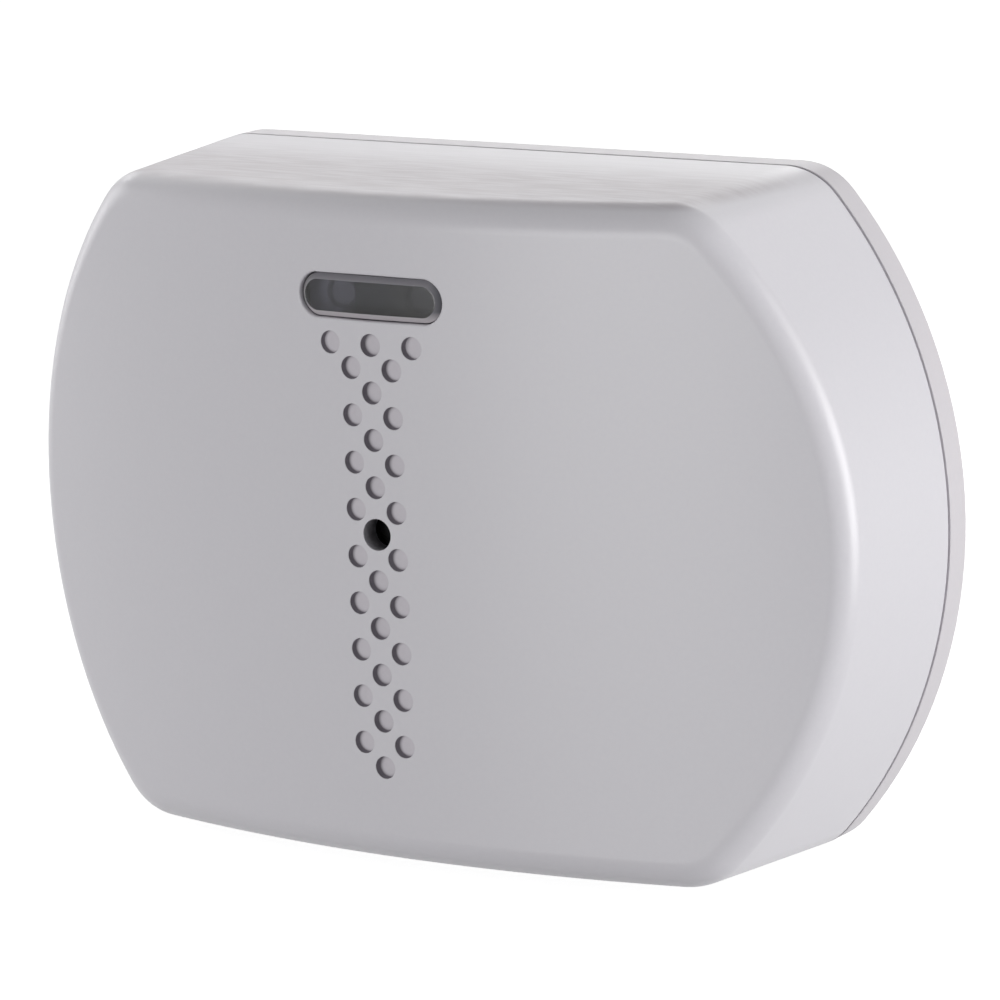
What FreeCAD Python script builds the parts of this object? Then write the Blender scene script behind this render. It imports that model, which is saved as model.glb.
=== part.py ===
import FreeCAD, Part
import math
import os
from FreeCAD import Vector

# Glass break sensor for a wall. Millimetres, Z up, X to the right as seen from the front.
# The origin is the centre of the outline on the wall face, and the front looks along -Y.
# Places along the depth are given as a distance from the wall, which is -Y.

# Housing
width = 108.4
height = 76.0
front_room = 7.5
crown_radius = 140.0
side_draft = 5.0
flat_draft = 2.2
corner_radius = 8.0
front_edge_radius = 3.6
wall = 2.2
base_edge = 3.6
base_floor = 2.2
seam_gap = 0.3
seam_depth = 0.8
lip_height = 3.0
lip_wall = 1.2
lip_play = 0.15

# Front pattern and sound port
port_diameter = 3.5
dimple_diameter = 2.5
dimple_pitch = 2.6
dimple_depth = 1.0
dimple_window_gap = 2.0
dimple_bottom_gap = 6.0

# Window and indicator lamps
window_length = 18.2
window_width = 5.0
window_drop = 12.1
window_play = 0.15
lens_edge = 0.6
lens_flange = 1.4
lens_flange_thickness = 1.4
lens_frame_wall = 0.8
lens_frame_height = 1.0
led_diameter = 3.0
led_lens_gap = 0.7
led_spacing = 10.0
led_lead = 0.5
led_lead_spacing = 2.54
shroud_wall = 1.0
shroud_lens_gap = 0.1
shroud_play = 0.3

# Cell and its holder
cell_diameter = 17.0
cell_length = 34.5
cell_nub_diameter = 6.4
cell_nub_height = 1.5
cell_z = -15.0
cell_base_gap = 1.6
cell_play = 0.2
holder_floor = 1.2
holder_wall = 1.2
holder_rise = 1.3
holder_grip_length = 17.0
holder_grip_depth = 2.6
contact_room = 1.5
contact_thickness = 0.4
contact_width = 9.0
contact_flat = 0.8
contact_free_end = 2.25
contact_back_gap = 0.1
contact_tail = 1.2
contact_tail_width = 3.0

# Circuit board
board_thickness = 1.6
board_side_gap = 12.2
board_end_gap = 3.0
board_corner = 9.0
board_hole_inset_x = 6.0
board_hole_inset_z = 8.0
hole_play = 0.15
solder_length = 1.0
board_clip_width = 5.0
board_clip_wall = 1.4
board_clip_bite = 0.8
board_clip_nose = 1.6
board_edge_play = 0.15

# Screws
board_screw_diameter = 2.9
board_screw_length = 5.5
board_screw_head_diameter = 5.4
board_screw_head_height = 1.8
boss_wall = 1.55
boss_bottom_gap = 0.2
cover_screw_diameter = 2.9
cover_screw_length = 8.0
cover_screw_head_diameter = 5.6
cover_screw_sink = 0.3
cover_screw_lip_gap = 0.1
cover_screw_post_wall = 3.0
cover_screw_post_end = 1.0
screw_slot_width = 0.8
screw_slot_depth = 0.7

# Microphone
microphone_diameter = 9.7
microphone_height = 4.5
microphone_standoff = 0.4
microphone_pin_depth = 0.4
microphone_pin = 0.5
microphone_pin_spacing = 2.54
felt_diameter = 7.4
felt_thickness = 0.3
boot_wall = 1.4
boot_play = 0.05
boot_lip_diameter = 5.2
boot_seat_rise = 0.3
boot_rib_width = 3.0
boot_rib_thickness = 1.1
boot_rib_play = 0.2
boot_rib_height = 4.0

# Tamper switch and its post on the base plate
tamper_x = 22.0
tamper_z = 13.0
tamper_body_length = 12.8
tamper_body_width = 5.8
tamper_body_height = 6.5
plunger_diameter = 2.0
plunger_play = 0.08
plunger_stand = 1.3
plunger_inside = 2.1
plunger_travel = 0.4
plunger_room = 0.3
tamper_post_gap = 0.1
tamper_post_diameter = 5.0
breakaway_diameter = 20.0
breakaway_slot = 1.0
breakaway_bridge = 1.6
breakaway_drop = 3.5
tamper_screw_drop = 5.0

# Enrol push button
enrol_inset_x = 8.0
enrol_z = 14.0
enrol_body = 6.0
enrol_body_height = 3.5
enrol_button_diameter = 3.5
enrol_button_play = 0.08
enrol_button_stand = 1.5
enrol_button_inside = 1.5
enrol_travel = 0.25
enrol_room = 0.25

# Radio part
radio_x = -8.0
radio_inset_z = 13.0
radio_length = 16.0
radio_width = 13.0
radio_board_thickness = 0.8
shield_margin = 1.2
shield_height = 2.3
shield_sheet = 0.2
antenna_diameter = 1.0
antenna_stand = 5.0
antenna_start_x = 2.5
antenna_inset = 2.6
antenna_slant = 9.5
antenna_length_down = 40.0

# Circuit parts
controller_x = -17.0
controller_z = -8.0
controller_size = 9.0
controller_lead_count = 8
amplifier_x = -15.0
amplifier_z = 9.0
amplifier_length = 8.7
amplifier_width = 3.9
amplifier_lead_count = 7
chip_height = 1.6
part_stand = 0.1
lead_width = 0.4
lead_reach = 1.0
crystal_x = -16.0
crystal_inset_z = 11.0
crystal_length = 11.0
crystal_width = 4.6
crystal_height = 3.5
regulator_inset_x = 16.0
regulator_inset_z = 11.0
regulator_length = 6.5
regulator_width = 3.5
regulator_lead_width = 0.8
reservoir_x = 15.0
reservoir_z = -10.0
reservoir_diameter = 6.3
filter_x = 15.0
filter_z = 8.0
filter_diameter = 5.0
capacitor_front_gap = 0.9
capacitor_base = 0.9
capacitor_base_margin = 0.15
jumper_inset_x = 7.0
jumper_z = -2.0
jumper_pin_spacing = 2.54
jumper_pin_count = 3
jumper_pin = 0.64
jumper_pin_height = 8.3
jumper_base_height = 2.5
jumper_link_height = 5.0
jumper_link_gap = 0.1
jumper_play = 0.05

# Base plate fixings
wall_hole_diameter = 4.2
wall_hole_spacing_x = 60.3
wall_hole_spacing_z = 44.0
box_slot_length = 8.2
box_slot_width = 4.2
box_slot_spacing = 83.5
saddle_thickness = 1.5
saddle_spacing = 20.0
saddle_gap = 0.3
saddle_height = 3.4
hook_spacing = 44.0
hook_width = 8.0
hook_wall = 1.6
hook_length = 7.0
hook_bite = 0.8
hook_nose = 2.0
hook_play = 0.2

# How far a cutting form runs past what it cuts, what counts as touching, and how nearly an
# edge has to follow the depth to count as one that runs along it
overrun = 5.0
touch = 0.01
depth_share = 0.9


def flat_inner(away, inset):
    """Half height of the drafted flat walls at a distance from the wall, moved in by inset."""
    return height / 2 - inset - (away - base_edge) * math.tan(math.radians(flat_draft))


def round_inner(away, inset):
    """Radius of the drafted round walls at a distance from the wall, moved in by inset."""
    return width / 2 - inset - (away - base_edge) * math.tan(math.radians(side_draft))


# Depths that follow from the sizes above, as distances from the wall
cell_axis = base_floor + cell_base_gap + cell_diameter / 2
board_rear = cell_axis + cell_diameter / 2 + holder_floor
board_front = board_rear + board_thickness
inner_front = board_front + front_room
depth = inner_front + wall
lens_rear = inner_front - lens_flange_thickness
microphone_front = board_front + microphone_standoff + microphone_height
boot_seat = inner_front - boot_seat_rise
tamper_body_top = board_rear - tamper_body_height
plunger_tip = tamper_body_top - plunger_stand
enrol_body_top = board_rear - enrol_body_height
lip_end = base_edge + lip_height
cover_screw_place = lip_end + cover_screw_lip_gap + cover_screw_head_diameter / 2

# Sizes and places across the front that follow from the sizes above
lip_inset = wall + lip_play
board_half_width = round_inner(board_front, wall) - board_side_gap
board_half_height = flat_inner(board_front, wall) - board_end_gap
board_hole_x = board_half_width - board_hole_inset_x
board_hole_z = board_half_height - board_hole_inset_z
window_z = height / 2 - window_drop
boot_radius = microphone_diameter / 2 + boot_play + boot_wall
board_clip_x = board_half_width - board_corner - board_clip_width
enrol_x = enrol_inset_x - board_half_width
jumper_x = jumper_inset_x - board_half_width
radio_z = board_half_height - radio_inset_z
crystal_z = crystal_inset_z - board_half_height
regulator_x = board_half_width - regulator_inset_x
regulator_z = regulator_inset_z - board_half_height
breakaway_z = tamper_z - breakaway_drop
holder_half_length = cell_length / 2 + contact_room


def disc(radius, x, z, start, end):
    """Round bar along the depth between two distances from the wall."""
    return Part.makeCylinder(radius, end - start, Vector(x, -start, z), Vector(0, -1, 0))


def cone(start_radius, end_radius, x, z, start, end):
    """Tapered round bar along the depth."""
    return Part.makeCone(start_radius, end_radius, end - start, Vector(x, -start, z), Vector(0, -1, 0))


def block(x, z, size_x, size_z, start, end):
    """Box centred on x and z, between two distances from the wall."""
    corner = Vector(x - size_x / 2, -end, z - size_z / 2)
    return Part.makeBox(size_x, end - start, size_z, corner)


def stadium(length, across, x, z, start, end):
    """Bar with full round ends whose long way is along X."""
    straight = length - across
    bar = block(x, z, straight, across, start, end)
    for side in (-1, 1):
        bar = bar.fuse(disc(across / 2, x + side * straight / 2, z, start, end))
    return bar.removeSplitter()


def side_slab(points, size_x, x):
    """Solid with an outline given as (distance from the wall, height), centred on x."""
    corners = [Vector(x - size_x / 2, -away, up) for away, up in points]
    face = Part.Face(Part.makePolygon(corners + corners[:1]))
    return face.extrude(Vector(size_x, 0, 0))


def depth_edges(shape):
    """Straight edges that run along the depth."""
    found = []
    for edge in shape.Edges:
        run = edge.Vertexes[-1].Point - edge.Vertexes[0].Point
        if abs(run.y) > depth_share * run.Length > 0:
            found.append(edge)
    return found


def joined(first, *others):
    """One solid from pieces that share faces or overlap."""
    return first.fuse(list(others)).removeSplitter()


def crown_sag(x, inset=0.0):
    """How far the crowned front falls back at x."""
    radius = crown_radius - inset
    return radius - math.sqrt(radius * radius - x * x)


def face_at(x, inset=0.0):
    """Distance from the wall to the crowned front at x, moved in by inset."""
    return depth - inset - crown_sag(x, inset)


def plate_form(inset, start, end):
    """Straight plate with the housing's outline: a circle cut flat at top and bottom."""
    plate = disc(width / 2 - inset, 0, 0, start, end)
    plate = plate.common(block(0, 0, width, height - 2 * inset, start, end))
    return plate.makeFillet(corner_radius - inset, depth_edges(plate))


def drafted_form(inset, start):
    """Drafted and crowned form with sharp edges, moved in from the outside by inset."""
    end = depth + overrun
    form = cone(round_inner(start, inset), round_inner(end, inset), 0, 0, start, end)
    outline = [
        (start, -flat_inner(start, inset)),
        (start, flat_inner(start, inset)),
        (end, flat_inner(end, inset)),
        (end, -flat_inner(end, inset)),
    ]
    form = form.common(side_slab(outline, 2 * width, 0))
    return form.common(crown_bar(inset))


def crown_bar(inset):
    """Upright bar whose front is the crowned front, moved in by inset."""
    return Part.makeCylinder(crown_radius - inset, 2 * height, Vector(0, crown_radius - depth, -height))


def crown_edges(form):
    """Edges round the crowned front of a form."""
    curved = [face for face in form.Faces if isinstance(face.Surface, Part.Cylinder)]
    return max(curved, key=lambda face: face.Area).Edges


def cover_form():
    """Outside of the cover. Its front edge is rounded off in three bands, 22.5 degrees apart."""
    wide_step = math.tan(math.radians(22.5))
    narrow_step = math.tan(math.radians(22.5 / 2))
    form = drafted_form(0, base_edge)
    form = form.makeFillet(corner_radius, depth_edges(form))
    form = form.makeChamfer(front_edge_radius * (1 - wide_step), crown_edges(form))
    edges = crown_edges(form)
    for face in form.Faces:
        if abs(face.BoundBox.YMax + base_edge) < touch < face.BoundBox.YLength:
            edges.append(min(face.Edges, key=lambda edge: edge.CenterOfMass.y))
    return form.makeChamfer(front_edge_radius * (wide_step - narrow_step), edges)


def dimple_places():
    """Centres of the blind dimples, in staggered rows, with the sound port left out."""
    front_half_height = flat_inner(depth, front_edge_radius)
    above = math.floor((window_z - window_width / 2 - dimple_window_gap) / dimple_pitch)
    below = math.floor((front_half_height - dimple_bottom_gap) / dimple_pitch)
    places = []
    for row in range(-below, above + 1):
        columns = [-1, 1] if row % 2 else [0]
        if row == above:
            columns = [columns[0] - 2, *columns, columns[-1] + 2]
        if row != 0:
            places.extend((column * dimple_pitch, row * dimple_pitch) for column in columns)
    return places


def hook_outline(play):
    """Section of one snap hook on the base plate, grown by play for its pocket."""
    tip = base_edge + lip_height + hook_length
    nose = tip - hook_nose
    face = flat_inner(nose, wall + lip_play) - hook_wall / 2
    bite = flat_inner(nose, wall) + hook_bite + play
    return [
        (nose - hook_nose - play, face),
        (nose - hook_nose - play, bite),
        (nose - hook_nose / 2 + play, bite),
        (tip + play, face),
    ]


def front_cover():
    """Moulded shell with the dimples, the sound port, the window opening and the inner bosses."""
    outer = cover_form()
    cavity = drafted_form(wall, base_edge - overrun)
    core = drafted_form(wall / 2, base_edge)
    features = boot_ribs() + board_rests() + [lens_frame()]
    shell = outer.cut(cavity)
    shell = joined(shell, *[feature.common(core) for feature in features])

    cuts = [stadium(window_length, window_width, 0, window_z, lens_rear, depth + overrun)]
    cuts.append(disc(port_diameter / 2, 0, 0, boot_seat - overrun, depth + overrun))
    for x, z in dimple_places():
        cuts.append(disc(dimple_diameter / 2, x, z, face_at(x) - dimple_depth, depth + overrun))
    pilot_end = board_rear + board_screw_length + boss_bottom_gap
    for side in (-1, 1):
        place = (side * board_hole_x, -board_hole_z)
        cuts.append(disc(board_screw_diameter / 2, *place, board_front - overrun, pilot_end))
        cuts.append(side_slab(hook_outline(hook_play), hook_width + 2 * hook_play, side * hook_spacing / 2))
    past = 2 * overrun
    seam = block(0, 0, width + past, height + past, base_edge - overrun, base_edge + seam_gap)
    cuts.append(seam.cut(plate_form(seam_depth, base_edge - overrun, base_edge + seam_gap)))
    cuts.append(cover_screw_form(hole_play))
    return shell.cut(cuts)


def boot_ribs():
    """Flat seat for the microphone's boot behind the sound port, with four ribs that centre it."""
    inner = boot_radius + boot_rib_play
    reach = inner + boot_rib_thickness
    middle = reach - boot_rib_thickness / 2
    start = boot_seat - boot_rib_height
    pieces = [disc(reach, 0, 0, boot_seat, depth)]
    for side in (-1, 1):
        pieces.append(block(side * middle, 0, boot_rib_thickness, boot_rib_width, start, depth))
        pieces.append(block(0, side * middle, boot_rib_width, boot_rib_thickness, start, depth))
    return pieces


def board_rests():
    """Two bosses for the board's screws at the bottom, and two rests with clips at the top edge."""
    pieces = []
    boss_size = board_screw_diameter + 2 * boss_wall
    clip_foot = board_half_height + board_edge_play
    for side in (-1, 1):
        pieces.append(block(side * board_hole_x, -board_hole_z, boss_size, boss_size, board_front, depth))
        clip_top = board_rear - board_edge_play
        clip = [
            (depth, clip_foot + board_clip_wall),
            (depth, clip_foot - board_clip_wall),
            (board_front, clip_foot - board_clip_wall),
            (board_front, clip_foot),
            (clip_top, clip_foot),
            (clip_top, clip_foot - board_clip_bite),
            (clip_top - board_clip_nose, clip_foot),
            (clip_top - board_clip_nose, clip_foot + board_clip_wall),
        ]
        pieces.append(side_slab(clip, board_clip_width, side * board_clip_x))
    return pieces


def lens_frame():
    """Rectangular frame round the flange of the window."""
    length, across = lens_flange_size(window_play)
    start = lens_rear - lens_frame_height + lens_flange_thickness
    outer = block(0, window_z, length + 2 * lens_frame_wall, across + 2 * lens_frame_wall, start, depth)
    return outer.cut(block(0, window_z, length, across, 0, depth))


def lens_flange_size(play):
    """Length and height of the window's flange, grown by play for its frame."""
    return window_length + 2 * (lens_flange + play), window_width + 2 * (lens_flange + play)


def cover_screw_form(play):
    """Countersunk screw form that stands on end in the bottom wall, grown by play for its hole."""
    radius = cover_screw_diameter / 2 + play
    head_radius = cover_screw_head_diameter / 2 + play
    head_z = -flat_inner(cover_screw_place, 0) + cover_screw_sink
    taper = head_radius - radius
    place = Vector(0, -cover_screw_place, head_z)
    head = Part.makeCone(head_radius, radius, taper, place)
    shank = Part.makeCylinder(radius, cover_screw_length, place)
    form = joined(head, shank)
    if play:
        mouth = Part.makeCylinder(head_radius, overrun, place - Vector(0, 0, overrun))
        return joined(form, mouth)
    slot = Part.makeBox(
        cover_screw_head_diameter,
        screw_slot_width,
        screw_slot_depth,
        place - Vector(cover_screw_head_diameter / 2, screw_slot_width / 2, 0),
    )
    return form.cut(slot)


def window_lens():
    """Clear smoked window with a flange that sits on the inside of the front wall."""
    front = stadium(
        window_length - 2 * window_play,
        window_width - 2 * window_play,
        0,
        window_z,
        lens_rear,
        depth + overrun,
    )
    front = front.common(crown_bar(0))
    front = front.makeChamfer(lens_edge, crown_edges(front))
    flange = block(0, window_z, *lens_flange_size(0), lens_rear, depth)
    return joined(front, flange.common(crown_bar(wall)))


def led_shroud():
    """Dark block with a well for each lamp, between the board and the window."""
    end = lens_rear - shroud_lens_gap
    length = window_length
    across = window_width + shroud_wall
    body = block(0, window_z, length, across, board_front, end)
    cuts = []
    for side in (-1, 1):
        radius = led_diameter / 2 + shroud_play
        cuts.append(disc(radius, side * led_spacing / 2, window_z, board_front - overrun, end + overrun))
    return body.cut(cuts)


def led(side):
    """Flat-topped indicator lamp with two leads through the board."""
    x = side * led_spacing / 2
    start = board_front + part_stand
    stem = disc(led_diameter / 2, x, window_z, start, lens_rear - led_lens_gap)
    lead_start = board_rear - solder_length
    lead_end = start + part_stand
    leads = []
    for step in (-1, 1):
        lead_x = x + step * led_lead_spacing / 2
        leads.append(block(lead_x, window_z, led_lead, led_lead, lead_start, lead_end))
    return joined(stem, *leads)


def microphone_capsule():
    """Electret capsule: a closed can with two pins through the board."""
    start = board_front + microphone_standoff
    can = disc(microphone_diameter / 2, 0, 0, start, microphone_front)
    pin_start = board_rear - solder_length
    pin_end = start + microphone_pin_depth
    pins = []
    for side in (-1, 1):
        x = side * microphone_pin_spacing / 2
        pins.append(block(x, 0, microphone_pin, microphone_pin, pin_start, pin_end))
    return joined(can, *pins)


def microphone_felt():
    """Dust felt on the face of the capsule."""
    return disc(felt_diameter / 2, 0, 0, microphone_front, microphone_front + felt_thickness)


def microphone_boot():
    """Rubber boot round the capsule, whose lip seals against the flat seat behind the sound port."""
    body = disc(boot_radius, 0, 0, board_front, boot_seat)
    room_radius = microphone_diameter / 2 + boot_play
    room = disc(room_radius, 0, 0, board_front - overrun, microphone_front + felt_thickness)
    mouth = disc(boot_lip_diameter / 2, 0, 0, microphone_front, depth)
    return body.cut([room, mouth])


def circuit_board():
    """Board with cut corners, round screw holes and square holes for leads and pins."""
    board = block(0, 0, 2 * board_half_width, 2 * board_half_height, board_rear, board_front)
    board = board.makeChamfer(board_corner, depth_edges(board))
    start = board_rear - overrun
    end = board_front + overrun
    holes = [(antenna_diameter, antenna_start_x, antenna_z())]
    for side in (-1, 1):
        for step in (-1, 1):
            holes.append((led_lead, side * led_spacing / 2 + step * led_lead_spacing / 2, window_z))
        holes.append((microphone_pin, side * microphone_pin_spacing / 2, 0))
    for x, z in jumper_pin_places():
        holes.append((jumper_pin, x, z))
    cuts = [block(x, z, size + 2 * hole_play, size + 2 * hole_play, start, end) for size, x, z in holes]
    for side in (-1, 1):
        slot_width = contact_thickness + 2 * hole_play
        slot_length = contact_tail_width + 2 * hole_play
        cuts.append(block(side * contact_wall_x(), cell_z, slot_width, slot_length, start, end))
        radius = board_screw_diameter / 2 + hole_play
        cuts.append(disc(radius, side * board_hole_x, -board_hole_z, start, end))
    return board.cut(cuts)


def board_screws():
    """Two screws that hold the lower end of the board on the bosses of the cover."""
    screws = []
    head_top = board_rear - board_screw_head_height
    for side in (-1, 1):
        place = (side * board_hole_x, -board_hole_z)
        head = disc(board_screw_head_diameter / 2, *place, head_top, board_rear)
        shank = disc(board_screw_diameter / 2, *place, board_rear, board_rear + board_screw_length)
        screws.append(joined(head, shank))
    return Part.makeCompound(screws)


def contact_wall_x():
    """Place of the middle of a contact's sheet, against the end wall of the holder."""
    return holder_half_length - contact_thickness / 2


def battery_holder():
    """Trough that the cell snaps into, with an end wall behind each contact."""
    across = cell_diameter + 2 * (cell_play + holder_wall)
    top = cell_axis - holder_rise
    body = block(0, cell_z, 2 * (holder_half_length + holder_wall), across, top, board_rear)
    place = Vector(-holder_half_length, -cell_axis, cell_z)
    trough = Part.makeCylinder(
        cell_diameter / 2 + cell_play, 2 * holder_half_length, place, Vector(1, 0, 0)
    )
    grip_end = cell_axis + holder_grip_depth
    grip = block(0, cell_z, holder_grip_length, across + overrun, top - overrun, grip_end)
    cuts = [trough, grip]
    for side in (-1, 1):
        x = side * (holder_half_length - contact_room / 2)
        contact_space = contact_width + 2 * hole_play
        cuts.append(block(x, cell_z, contact_room, contact_space, cell_axis - overrun, board_rear + overrun))
    return body.cut(cuts)


def battery_cell():
    """Sealed lithium cell that lies along X, with its positive end to the right."""
    body_length = cell_length - cell_nub_height
    place = Vector(-cell_length / 2, -cell_axis, cell_z)
    body = Part.makeCylinder(cell_diameter / 2, body_length, place, Vector(1, 0, 0))
    nub = Part.makeCylinder(cell_nub_diameter / 2, cell_length, place, Vector(1, 0, 0))
    return joined(body, nub)


def contact(side):
    """Bent leaf contact: a sheet on the end wall, a bowed tongue to the cell and a tail in the board."""
    sheet = side * contact_thickness
    outer = side * holder_half_length
    inner = outer - sheet
    tongue = inner - side * contact_back_gap
    cell = side * cell_length / 2
    top = cell_axis - contact_width / 2
    foot = board_rear + contact_tail
    flat_start = cell_axis - contact_flat / 2
    flat_end = cell_axis + contact_flat / 2
    free_end = cell_axis + contact_free_end
    line = [
        (outer, foot),
        (outer, top),
        (inner - sheet, top),
        (cell, flat_start),
        (cell, flat_end),
        (tongue - sheet, free_end),
        (tongue, free_end),
        (cell + sheet, flat_end),
        (cell + sheet, flat_start),
        (inner - sheet, top + contact_thickness),
        (inner, top + contact_thickness),
        (inner, foot),
    ]
    corners = [Vector(x, -away, cell_z - contact_width / 2) for x, away in line]
    leaf = Part.Face(Part.makePolygon(corners + corners[:1])).extrude(Vector(0, 0, contact_width))
    beside_tail = block(outer, cell_z, 2 * overrun, contact_width, board_rear, foot + overrun)
    return leaf.cut(beside_tail.cut(block(outer, cell_z, 2 * overrun, contact_tail_width, board_rear, foot)))


def tamper_switch():
    """Small switch body on the rear of the board, with a round guide for its plunger."""
    body = block(tamper_x, tamper_z, tamper_body_length, tamper_body_width, tamper_body_top, board_rear)
    guide_end = tamper_body_top + plunger_inside + plunger_travel + plunger_room
    radius = plunger_diameter / 2 + plunger_play
    return body.cut(disc(radius, tamper_x, tamper_z, tamper_body_top - overrun, guide_end))


def tamper_plunger():
    """Plunger that the post of the base plate holds down."""
    return disc(plunger_diameter / 2, tamper_x, tamper_z, plunger_tip, tamper_body_top + plunger_inside)


def enrol_switch():
    """Push switch body on the rear of the board."""
    body = block(enrol_x, enrol_z, enrol_body, enrol_body, enrol_body_top, board_rear)
    guide_end = enrol_body_top + enrol_button_inside + enrol_travel + enrol_room
    radius = enrol_button_diameter / 2 + enrol_button_play
    return body.cut(disc(radius, enrol_x, enrol_z, enrol_body_top - overrun, guide_end))


def enrol_button():
    """Round cap of the push switch."""
    tip = enrol_body_top - enrol_button_stand
    return disc(enrol_button_diameter / 2, enrol_x, enrol_z, tip, enrol_body_top + enrol_button_inside)


def radio_board():
    """Small board of the radio part, soldered flat on the rear of the main board."""
    top = board_rear - radio_board_thickness
    return block(radio_x, radio_z, radio_length, radio_width, top, board_rear)


def radio_shield():
    """Folded sheet can over the radio circuit, open towards its board."""
    base = board_rear - radio_board_thickness
    length = radio_length - 2 * shield_margin
    across = radio_width - 2 * shield_margin
    can = block(radio_x, radio_z, length, across, base - shield_height, base)
    can = can.makeFillet(2 * shield_sheet, depth_edges(can))
    inner = block(
        radio_x, radio_z, length - 2 * shield_sheet, across - 2 * shield_sheet,
        base - shield_height + shield_sheet, base + overrun,
    )
    return can.cut(inner)


def antenna_z():
    """Height of the stretch of the wire that runs along the top of the board."""
    return board_half_height - antenna_inset


def antenna_wire():
    """Quarter-wave wire bent by hand: up from the board, along its top and down its side."""
    level = antenna_stand - board_rear
    top = antenna_z()
    side = board_half_width - antenna_inset
    points = [
        Vector(antenna_start_x, -(board_rear + solder_length), top),
        Vector(antenna_start_x, level, top),
        Vector(side - antenna_slant, level, top),
        Vector(side, level, top - antenna_slant),
        Vector(side, level, top - antenna_slant - antenna_length_down),
    ]
    section = Part.Wire(Part.Circle(points[0], points[1] - points[0], antenna_diameter / 2).toShape())
    make_solid = True
    keep_frenet = False
    mitred = 1
    return Part.makePolygon(points).makePipeShell([section], make_solid, keep_frenet, mitred)


def microcontroller():
    """Square circuit package with leads on all four sides."""
    sides = ((0, 1), (0, -1), (1, 0), (-1, 0))
    return chip(controller_x, controller_z, controller_size, controller_size, controller_lead_count, sides)


def signal_amplifier():
    """Narrow circuit package with leads along its two long sides."""
    sides = ((0, 1), (0, -1))
    return chip(amplifier_x, amplifier_z, amplifier_length, amplifier_width, amplifier_lead_count, sides)


def chip(x, z, length, across, leads_per_side, sides):
    """Moulded circuit package with flat leads on the front of the board."""
    start = board_front + part_stand
    body = block(x, z, length, across, start, start + chip_height)
    lead_top = board_front + chip_height / 2
    pieces = []
    for side_x, side_z in sides:
        run = length if side_z else across
        step = run / (leads_per_side + 1)
        for index in range(leads_per_side):
            along = (index + 1) * step - run / 2
            if side_z:
                place = (x + along, z + side_z * (across + lead_reach) / 2)
                size = (lead_width, lead_reach)
            else:
                place = (x + side_x * (length + lead_reach) / 2, z + along)
                size = (lead_reach, lead_width)
            pieces.append(block(*place, *size, board_front, lead_top))
    return joined(body, *pieces)


def clock_crystal():
    """Sealed crystal can on the front of the board."""
    return stadium(
        crystal_length, crystal_width, crystal_x, crystal_z, board_front, board_front + crystal_height
    )


def voltage_regulator():
    """Regulator package with three leads and a tab."""
    body = block(
        regulator_x, regulator_z, regulator_length, regulator_width,
        board_front + part_stand, board_front + chip_height,
    )
    top = board_front + chip_height / 2
    tab_z = regulator_z + (regulator_width + lead_reach) / 2
    leads = [block(regulator_x, tab_z, regulator_length / 2, lead_reach, board_front, top)]
    for step in (-1, 0, 1):
        x = regulator_x + step * regulator_length / 3
        z = regulator_z - (regulator_width + lead_reach) / 2
        leads.append(block(x, z, regulator_lead_width, lead_reach, board_front, top))
    return joined(body, *leads)


def capacitor(x, z, diameter):
    """Upright electrolytic can on its square base."""
    size = diameter + 2 * capacitor_base_margin
    base = block(x, z, size, size, board_front, board_front + capacitor_base)
    top = face_at(x + diameter / 2, wall) - capacitor_front_gap
    return joined(base, disc(diameter / 2, x, z, board_front, top))


def jumper_pin_places():
    """Centres of the jumper pins, one above the other."""
    middle = (jumper_pin_count - 1) / 2
    return [(jumper_x, jumper_z + (index - middle) * jumper_pin_spacing) for index in range(jumper_pin_count)]


def jumper_header():
    """Row of square pins in a moulded strip."""
    base = board_rear - jumper_base_height
    strip_height = jumper_pin_count * jumper_pin_spacing
    strip = block(jumper_x, jumper_z, jumper_pin_spacing, strip_height, base, board_rear)
    pin_top = board_rear - jumper_pin_height
    pin_end = board_front + solder_length
    pins = [block(x, z, jumper_pin, jumper_pin, pin_top, pin_end) for x, z in jumper_pin_places()]
    return joined(strip, *pins)


def jumper_link():
    """Link pushed over two of the pins."""
    places = jumper_pin_places()[-2:]
    z = (places[0][1] + places[1][1]) / 2
    base = board_rear - jumper_base_height
    top = base - jumper_link_height
    body = block(jumper_x, z, jumper_pin_spacing, 2 * (jumper_pin_spacing - jumper_link_gap), top, base)
    size = jumper_pin + 2 * jumper_play
    holes = [block(x, pin_z, size, size, top - overrun, base + overrun) for x, pin_z in places]
    return body.cut(holes)


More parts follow.
